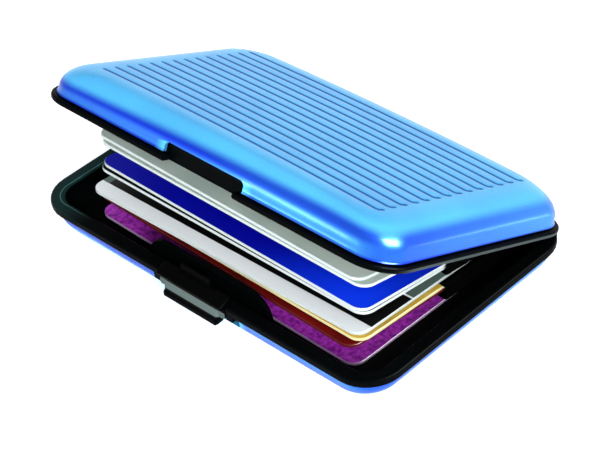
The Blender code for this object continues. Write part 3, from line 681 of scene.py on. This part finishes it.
# %% Places on a piece
def piece_axes(finish, turned_back=False):
    """X, Y and Z on the piece; turned back, they are those of the closed lid."""
    place = place_on_piece(finish)
    if turned_back:
        mapping = add_node(finish, "ShaderNodeMapping")
        mapping.inputs["Location"].default_value = LID_TURN.inverted().translation
        mapping.inputs["Rotation"].default_value = LID_TURN.inverted().to_euler()
        wire(finish, place, mapping.inputs["Vector"])
        place = mapping.outputs["Vector"]
    split = add_node(finish, "ShaderNodeSeparateXYZ")
    wire(finish, place, split.inputs[0])
    return split.outputs


def both(finish, first, second):
    """1 only where both shares are 1."""
    return calculate(finish, "MULTIPLY", first, second)


def within(finish, value, low, high, blur):
    """1 between two lines and 0 outside them."""
    above = ramp(finish, value, low - blur, low + blur)
    return both(finish, above, ramp(finish, value, high - blur, high + blur, 1.0, 0.0))


def beyond(finish, value, line):
    """How far a value lies beyond a line on either side of the middle; 0 between the two."""
    past_line = calculate(finish, "SUBTRACT", calculate(finish, "ABSOLUTE", value), line)
    return calculate(finish, "MAXIMUM", past_line)


# %% Painted sheen
LID_RIM_X, LID_RIM_Y, LID_RIM_Z = (46 * MM, 53 * MM), (-30 * MM, -22 * MM), (9.4 * MM, 10.5 * MM)
TRAY_END_X, TRAY_RIM_Z, TRAY_RIM_SHARE = (-36 * MM, -48 * MM), (8.7 * MM, 9.1 * MM), 0.16
INNER_LINE_X, INNER_LINE_Y, INNER_LINE_CORNER = 51.5 * MM, 31.7 * MM, 5.5 * MM
INNER_LINE_HALF, INNER_LINE_BLUR = 0.12 * MM, 0.06 * MM
LEDGE_Y, LEDGE_Z = (-34.3 * MM, -34.7 * MM), (5.9 * MM, 7.7 * MM)
SHEEN_BLUR, LEDGE_BLUR = 0.1 * MM, 0.12 * MM


def rubbed_lid_rim(finish):
    """Painted reflection on the lower half of the lid's rim, at its right end."""
    x, y, z = piece_axes(finish, turned_back=True)
    end = both(finish, ramp(finish, x, *LID_RIM_X), ramp(finish, y, *LID_RIM_Y))
    return both(finish, end, within(finish, z, *LID_RIM_Z, SHEEN_BLUR))


def inner_line(finish, x, y):
    """A painted highlight: the thin rounded line along the inner edge of the tray's rim."""
    past_x = beyond(finish, x, INNER_LINE_X - INNER_LINE_CORNER)
    past_y = beyond(finish, y, INNER_LINE_Y - INNER_LINE_CORNER)
    squares = calculate(finish, "ADD", both(finish, past_x, past_x), both(finish, past_y, past_y))
    low, high = INNER_LINE_CORNER - INNER_LINE_HALF, INNER_LINE_CORNER + INNER_LINE_HALF
    return within(finish, calculate(finish, "SQRT", squares), low, high, INNER_LINE_BLUR)


def greyer_tray_end(finish):
    """Painted reflection on the top of the tray's rim at its left end, and a painted highlight line along its
    inner edge.
    """
    x, y, z = piece_axes(finish)
    top = both(finish, ramp(finish, x, *TRAY_END_X), ramp(finish, z, *TRAY_RIM_Z))
    line = calculate(finish, "MULTIPLY", inner_line(finish, x, y), 1.0 - TRAY_RIM_SHARE)
    return both(finish, top, calculate(finish, "ADD", line, TRAY_RIM_SHARE))


def button_ledge(finish):
    """Painted reflection on the sloped ledge between the button's top and its finger bar."""
    _, y, z = piece_axes(finish)
    return both(finish, ramp(finish, y, *LEDGE_Y), within(finish, z, *LEDGE_Z, LEDGE_BLUR))


# %% Make the black finishes
FRAME_BLACK = (0.0007, 0.0012, 0.0013)
NEUTRAL_BLACK = (0.0006, 0.0007, 0.0008)
lid_black = moulded_black("moulded_black_lid_frame", FRAME_BLACK, 0.34, grain=0.16 * MM, gloss=0.012,
                          painted_sheen=rubbed_lid_rim, painted_sheen_colour=(0.045, 0.058, 0.060))
tray_black = moulded_black("moulded_black_tray_frame", FRAME_BLACK, 0.34, grain=0.16 * MM, gloss=0.012,
                           painted_sheen=greyer_tray_end, painted_sheen_colour=(0.044, 0.135, 0.130))
button_black = moulded_black("moulded_black_button", NEUTRAL_BLACK, 0.30, grain=0.14 * MM, gloss=0.015,
                             painted_sheen=button_ledge, painted_sheen_colour=(0.10, 0.135, 0.13))
leaf_black = moulded_black("black_pocket_sheet", NEUTRAL_BLACK, 0.48, grain=0.4 * MM, gloss=0.012)
print("black finishes:", ", ".join(finish.name for finish in (lid_black, tray_black, button_black, leaf_black)))

# %% [markdown]
# ## Steel pins, and putting finishes on solids
# Both pins are drawn wire, whose fine scratches run along it, so their noise is
# stretched along X. The frames, the button, the pocket sheets and the pins keep their
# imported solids, because those already have the whole form. Only the material in each
# solid's slot changes.

# %% Steel and the solids
DARK_STEEL, LIGHT_STEEL = (0.42, 0.42, 0.43), (0.62, 0.62, 0.63)
SCRATCH_WIDTH, ALONG_WIRE = 0.1 * MM, (0.02, 1.0, 1.0)
STEEL_ROUGHNESS = (0.22, 0.4)
ACCORDION_LEAVES = 5


def drawn_steel(name):
    finish = new_finish(name, 0.3, metallic=1.0)
    scratches = noise(finish, SCRATCH_WIDTH, stretch=ALONG_WIRE)
    steel = mix_colours(finish, scratches, DARK_STEEL, LIGHT_STEEL)
    wire(finish, steel, principled(finish, "Base Color"))
    wire(finish, spread(finish, scratches, *STEEL_ROUGHNESS), principled(finish, "Roughness"))
    return finish


pin_steel = drawn_steel("drawn_steel_wire")
dressing = {"bottom_frame": tray_black, "top_frame": lid_black, "latch_button": button_black}
dressing.update(pocket_floor=leaf_black, pocket_roof=leaf_black, hinge_pin=pin_steel, latch_pin=pin_steel)
for leaf in range(1, ACCORDION_LEAVES + 1):
    dressing["pocket_leaf_" + str(leaf)] = leaf_black
for name, finish in dressing.items():
    for material_slot in frame["nodes"][name].material_slots:
        material_slot.link = "OBJECT"
        material_slot.material = finish
print("solids with a new finish:", len(dressing))

# %% [markdown]
# ## Printed cards
# A card is a white plastic core with a printed, laminated face, and its edge shows the
# core as a thin light line. The print is made from the card's own coordinates, with the
# origin at its middle, so a band or a panel is a comparison with a length in millimetres.

# %% Card finishes
CARD_ROUGHNESS = 0.4
CORE_SPECKLE, CORE_DARKER = 0.3 * MM, 0.86
FILM_SIZE, FILM_ROUGHNESS, FILM_GLOSS = 9 * MM, (0.40, 0.43), 0.25
PRINT_BLUR = 0.05 * MM


def card_edge(name, colour):
    finish = new_finish(name, CARD_ROUGHNESS)
    darker = tuple(channel * CORE_DARKER for channel in colour)
    speckled = mix_colours(finish, noise(finish, CORE_SPECKLE), colour, darker)
    wire(finish, speckled, principled(finish, "Base Color"))
    return finish


def laminate(finish, gloss=FILM_GLOSS):
    """Clear film over the print: smooth, with a faint unevenness in its gloss."""
    film = noise(finish, FILM_SIZE, detail=0.0)
    wire(finish, spread(finish, film, *FILM_ROUGHNESS), principled(finish, "Roughness"))
    principled(finish, "Specular IOR Level").default_value = gloss


def past(finish, value, line):
    """0 below a line and 1 above it."""
    return ramp(finish, value, line - PRINT_BLUR, line + PRINT_BLUR)


def clouded_print(name, first, second, size, gloss=FILM_GLOSS, detail=1.0):
    """A print of two colours that run into each other in soft clouds."""
    finish = new_finish(name, CARD_ROUGHNESS)
    clouds = spread(finish, noise(finish, size, detail=detail))
    wire(finish, mix_colours(finish, clouds, first, second), principled(finish, "Base Color"))
    laminate(finish, gloss)
    return finish


# %% [markdown]
# Two cards need more than clouds. The blue one is painted darker towards its back left
# and lighter towards its front right corner, as painted shade and painted light. The pale
# one shows its back, with a black stripe between a white panel and a grey one, and a
# painted grey reflection at the left end of the stripe.

# %% The special prints
PAINTED_LIGHT_STARTS, PAINTED_LIGHT_FULL = 30 * MM, 68 * MM
STRIPE_LEFT, STRIPE_FRONT, STRIPE_BACK = -40.6 * MM, -22.9 * MM, -9.7 * MM
LINE_BACK = -9.1 * MM
BLUE_FILM_GLOSS = 0.06


def blue_print(name):
    finish = new_finish(name, CARD_ROUGHNESS)
    x, y, _ = piece_axes(finish)
    # painted light and shade: darker to the back left, lighter towards the front right corner
    glow = ramp(finish, calculate(finish, "SUBTRACT", x, y), PAINTED_LIGHT_STARTS, PAINTED_LIGHT_FULL)
    body = mix_colours(finish, glow, (0.001, 0.002, 0.360), (0.003, 0.045, 0.880))
    wire(finish, body, principled(finish, "Base Color"))
    laminate(finish, BLUE_FILM_GLOSS)
    return finish


def stripe_print(name):
    finish = new_finish(name, CARD_ROUGHNESS)
    x, y, _ = piece_axes(finish)
    white, grey, black = (0.92, 0.98, 1.00), (0.10, 0.155, 0.135), (0.001, 0.001, 0.001)
    edge = mix_colours(finish, past(finish, y, STRIPE_FRONT), white, black)
    # painted reflection: the black stripe turns grey at its left end
    stripe = mix_colours(finish, past(finish, x, STRIPE_LEFT), grey, edge)
    body = mix_colours(finish, past(finish, y, STRIPE_FRONT), white, stripe)
    body = mix_colours(finish, past(finish, y, STRIPE_BACK), body, white)
    body = mix_colours(finish, past(finish, y, LINE_BACK), body, grey)
    wire(finish, body, principled(finish, "Base Color"))
    laminate(finish)
    return finish


# %% Which card has which print
white_core = card_edge("white_card_core", (0.52, 0.59, 0.59))
mottled_purple = clouded_print("mottled_purple_print", (0.170, 0.008, 0.230), (0.50, 0.045, 0.60),
                               size=1.1 * MM, gloss=0.12, detail=4.0)
dark_red = clouded_print("dark_red_print", (0.085, 0.001, 0.002), (0.14, 0.003, 0.003), size=8 * MM, gloss=0.04)
golden = clouded_print("golden_print", (0.66, 0.42, 0.045), (0.78, 0.55, 0.10), size=7 * MM)
black = clouded_print("black_print", (0.001, 0.001, 0.001), (0.003, 0.003, 0.004), size=9 * MM, gloss=0.04)
pearl = clouded_print("pearl_print", (0.46, 0.56, 0.50), (0.58, 0.68, 0.62), size=12 * MM)
silver = clouded_print("silver_print", (0.62, 0.78, 0.71), (0.74, 0.88, 0.81), size=14 * MM)
prints = {
    "purple_card": (mottled_purple, card_edge("lilac_card_core", (0.62, 0.42, 0.70))),
    "red_card": (dark_red, card_edge("red_card_core", (0.10, 0.004, 0.004))),
    "yellow_card": (golden, card_edge("cream_card_core", (0.80, 0.74, 0.38))),
    "stripe_card": (stripe_print("striped_back_print"), white_core),
    "black_card": (black, white_core),
    "blue_card": (blue_print("deep_blue_print"), white_core),
    "white_card": (pearl, white_core),
    "silver_card": (silver, white_core),
}
print("prints:", ", ".join(finishes[0].name for finishes in prints.values()))

# %% [markdown]
# ## Card blanks on their solids
# Where a card lies, and how askew, is read off its solid: the average of its corners is
# its middle, and the directions in which they spread most are its length and its width.
# A blank with the standard card's size and rounded corners is then laid there.

# %% Card blank
CARD_HALF_LENGTH, CARD_HALF_WIDTH, CARD_HALF_THICKNESS = 42.8 * MM, 26.99 * MM, 0.38 * MM
CARD_CORNER, CARD_CORNER_STEPS = 3.18 * MM, 10
CARD_BREAK = 0.07 * MM


def card_mesh():
    """The two big faces take the first finish, and the edge all round takes the second."""
    bm = bmesh.new()
    top, side_top = CARD_HALF_THICKNESS, CARD_HALF_THICKNESS - CARD_BREAK
    rings = []
    for inset, height in ((CARD_BREAK, -top), (0.0, -side_top), (0.0, side_top), (CARD_BREAK, top)):
        outline = rounded_ring(CARD_HALF_LENGTH - inset, CARD_HALF_WIDTH - inset, CARD_CORNER - inset,
                               CARD_CORNER_STEPS, side_steps=1)
        rings.append([(x, y, height) for x, y in outline])
    skin(bm, rings, cap_start=True, cap_end=True)
    for face in bm.faces:
        face.material_index = 0 if len(face.verts) > 4 else 1
    return bm


print("card", round(2 * CARD_HALF_LENGTH / MM, 2), "x", round(2 * CARD_HALF_WIDTH / MM, 2), "mm")

# %% Make the cards
def card_place(node):
    """Matrix from a card's own axes to where its solid lies."""
    points = np.array([vert.co for vert in node.data.vertices])
    middle = points.mean(axis=0)
    _, axes = np.linalg.eigh(np.cov((points - middle).T))
    along, up = Vector(axes[:, 2]), Vector(axes[:, 0])
    along *= 1 if along.x > 0 else -1
    up *= 1 if up.z > 0 else -1
    across = up.cross(along)
    turn = Matrix((along, across, up)).transposed().to_4x4()
    return Matrix.Translation(Vector(middle)) @ turn


bodies = record["behaviour"]["bodies"]
carrier = {node: body for body, nodes in bodies.items() for node in nodes}
for name, finishes in prints.items():
    place = card_place(frame["nodes"][name])
    card = make_piece(name + "_printed", card_mesh(), list(finishes), place)
    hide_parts(name)
    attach(card, carrier[name])
    print(name, "middle at", [round(value / MM, 2) for value in place.translation])

# %% [markdown]
# ## Floor, room and lights
# A catalogue picture of a glossy case is made in a white room with a dimmer ceiling:
# the low walls give the flat lid its pale sheen, and the ceiling leaves the rolled edge
# its depth. The floor is white paper that glows a little, so that the case's shadow
# nearly goes, as in the photograph.

# %% Floor
FLOOR_REACH, FLOOR_DEPTH = 1.6, 0.02


def floor_mesh():
    bm = bmesh.new()
    far = FLOOR_REACH
    corners = [(-far, -far), (far, -far), (far, far), (-far, far)]
    skin(bm, [[(x, y, z) for x, y in corners] for z in (-FLOOR_DEPTH, 0.0)], cap_start=True, cap_end=True)
    return bm


def paper_white():
    finish = new_finish("white_paper_floor", 0.75)
    shade = noise(finish, 0.4)
    paper = mix_colours(finish, shade, (0.86, 0.86, 0.86), (0.90, 0.90, 0.90))
    wire(finish, paper, principled(finish, "Base Color"))
    principled(finish, "Specular IOR Level").default_value = 0.2
    glow = mix_colours(finish, shade, (0.97, 0.97, 0.97), (1.0, 1.0, 1.0))
    wire(finish, glow, principled(finish, "Emission Color"))
    principled(finish, "Emission Strength").default_value = 0.45
    return finish


mesh = bpy.data.meshes.new("paper_floor")
floor_bm = floor_mesh()
floor_bm.to_mesh(mesh)
floor_bm.free()
mesh.materials.append(paper_white())
paper = bpy.data.objects.new("paper_floor", mesh)
bpy.context.scene.collection.objects.link(paper)
print("floor", 2 * FLOOR_REACH, "m across")

# %% Room
ROOM_LEVELS = [(0.0, 1.0), (0.12, 0.94), (0.36, 0.62), (0.70, 0.60)]
ROOM_STRENGTH = 1.12
COOL = 1.02

world = bpy.data.worlds.new("white_room")
bpy.context.scene.world = world
world.use_nodes = True
nodes, links = world.node_tree.nodes, world.node_tree.links
split = nodes.new("ShaderNodeSeparateXYZ")
links.new(nodes.new("ShaderNodeTexCoord").outputs["Generated"], split.inputs[0])
walls = nodes.new("ShaderNodeValToRGB")
levels = walls.color_ramp
levels.interpolation = "EASE"
levels.elements[0].position, levels.elements[1].position = ROOM_LEVELS[0][0], ROOM_LEVELS[-1][0]
for height, _ in ROOM_LEVELS[1:-1]:
    levels.elements.new(height)
for element, (_, level) in zip(levels.elements, ROOM_LEVELS):
    element.color = (level, level, level * COOL, 1.0)
links.new(split.outputs["Z"], walls.inputs["Fac"])
background = nodes["Background"]
links.new(walls.outputs["Color"], background.inputs["Color"])
background.inputs["Strength"].default_value = ROOM_STRENGTH
print("room levels, from the floor line up:", ROOM_LEVELS)

# %% [markdown]
# One softbox in front lights the case and is not mirrored in it, and a wide one hangs
# overhead. The photograph also has three bright marks on the rolled edge: at the front
# right corner, along the front, and along the right end. They could be painted on, but
# then they would stay when the lid moves. Here each is a lamp that stands where the
# surface mirrors it into the camera, and that lights nothing else.

# %% Softboxes
def softbox(name, toward, distance, size, power, aim=(0.0, 0.0, 12.0), along=(1.0, 0.0, 0.0), shows="both"):
    """A rectangular lamp; aim is in millimetres, and it shows as "light", in "gloss" or as both."""
    light = bpy.data.lights.new(name, "AREA")
    light.shape = "RECTANGLE"
    light.size, light.size_y = size
    light.energy = power
    lamp = bpy.data.objects.new(name, light)
    bpy.context.scene.collection.objects.link(lamp)
    way = Vector(toward).normalized()
    lamp.location = Vector(aim) * MM + way * distance
    wide = (Vector(along) - way * way.dot(Vector(along))).normalized()
    lamp.rotation_euler = Matrix((wide, way.cross(wide), way)).transposed().to_euler()
    lamp.visible_diffuse = shows != "gloss"
    lamp.visible_glossy = shows != "light"
    lamp.visible_camera = False
    print(name, power, "W at", [round(value, 2) for value in lamp.location])


softbox("front_softbox", (0.77, -0.50, 0.39), distance=0.7, size=(0.25, 0.15), power=5.5, shows="light")
softbox("overhead_softbox", (-0.25, 0.15, 1.0), distance=0.9, size=(0.9, 0.9), power=1.0)
softbox("corner_highlight", (0.578, 0.364, 0.730), distance=0.7, size=(0.44, 0.30), power=40.0,
        aim=(50.7, -21.1, 39.7), along=(0.11, 0.62, -0.46), shows="gloss")
softbox("front_streak", (-0.578, -0.790, 0.206), distance=0.3, size=(0.048, 0.050), power=0.17,
        aim=(29.0, -25.4, 39.7), along=(0.45, -0.10, 0.03), shows="gloss")
softbox("end_streak", (0.579, 0.804, -0.136), distance=0.09, size=(0.044, 0.005), power=0.008,
        aim=(52.5, 4.9, 27.2), along=(-0.04, 0.39, -0.19), shows="gloss")

# %% [markdown]
# ## Camera
# The camera stands where the photograph was taken from: to the right of the latch,
# looking down by about 39 degrees and rolled by 6, with a long lens.

# %% Camera
CAMERA_PLACE = Vector((276.13, -252.16, 304.68)) * MM
RIGHT = Vector((0.71997, 0.68912, -0.08218))
DOWN = Vector((0.38704, -0.49699, -0.77666))
FORWARD = Vector((-0.57606, 0.52737, -0.62453))
camera_data = bpy.data.cameras.new("portrait_camera")
camera_data.lens = 122.59
camera_data.sensor_width = 36.0
camera_data.clip_start = 0.01
camera = bpy.data.objects.new("portrait_camera", camera_data)
bpy.context.scene.collection.objects.link(camera)
axes = Matrix((RIGHT, -DOWN, -FORWARD)).transposed().to_4x4()
camera.matrix_world = Matrix.Translation(CAMERA_PLACE) @ axes
bpy.context.scene.camera = camera
bpy.context.scene.view_settings.view_transform = "Standard"
print("camera", round(CAMERA_PLACE.length, 2), "m from the case, lens", round(camera_data.lens, 1), "mm")
